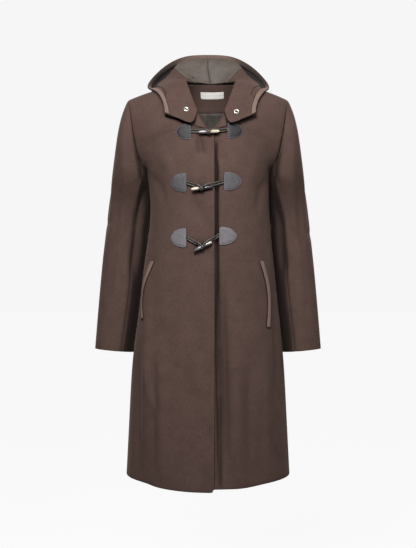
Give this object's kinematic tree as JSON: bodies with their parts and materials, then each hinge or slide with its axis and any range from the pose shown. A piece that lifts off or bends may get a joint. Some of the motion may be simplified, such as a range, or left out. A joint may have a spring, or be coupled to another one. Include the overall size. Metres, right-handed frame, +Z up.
{
  "type": "duffle coat",
  "caption": "Knee-length hooded wool duffle coat, worn shape, hood down, closed with horn toggles, cord loops and leather patches; curved pocket welts.",
  "frame": {"origin": "on the centre line, level with the tops of the shoulders, where the wearer carries the coat", "axes": "+Z up; the wearer faces -Y; the wearer's left hand is at +X"},
  "size_m": [0.57, 0.3289, 1.0856],
  "materials": {
    "wool": "milled wool melton, soft nap",
    "rim_band": "lighter face of the double wool cloth, stitched",
    "welt": "lighter wool cloth",
    "satin": "satin lining, soft sheen",
    "lining": "woven lining",
    "leather": "grained leather, edge stitched",
    "cord": "braided cord",
    "horn": "polished dark horn with pale tips",
    "stud_metal": "polished press stud",
    "label": "woven tape, bare"
  },
  "bodies": {
    "root": {"back": "wool", "front_right": "wool", "front_left": "wool", "sleeve_right_upper": "wool", "sleeve_right_under": "wool", "hood_right": "wool", "hood_facing_right": "wool", "front_facing_right": "wool", "hood_rim_right": "rim_band", "hood_lining_right": "satin", "welt_right": "welt", "stud_right": "stud_metal", "patch_1_right": "leather", "cord_1_right": "cord", "patch_2_right": "leather", "cord_2_right": "cord", "patch_3_right": "leather", "cord_3_right": "cord", "sleeve_left_upper": "wool", "sleeve_left_under": "wool", "hood_left": "wool", "hood_facing_left": "wool", "front_facing_left": "wool", "hood_rim_left": "rim_band", "hood_lining_left": "satin", "welt_left": "welt", "stud_left": "stud_metal", "patch_1_left": "leather", "cord_1_left": "cord", "patch_2_left": "leather", "cord_2_left": "cord", "patch_3_left": "leather", "cord_3_left": "cord", "neck_facing": "wool", "back_lining": "lining", "neck_label": "label", "toggle_1": "horn", "toggle_2": "horn", "toggle_3": "horn"}
  },
  "joints": []
}
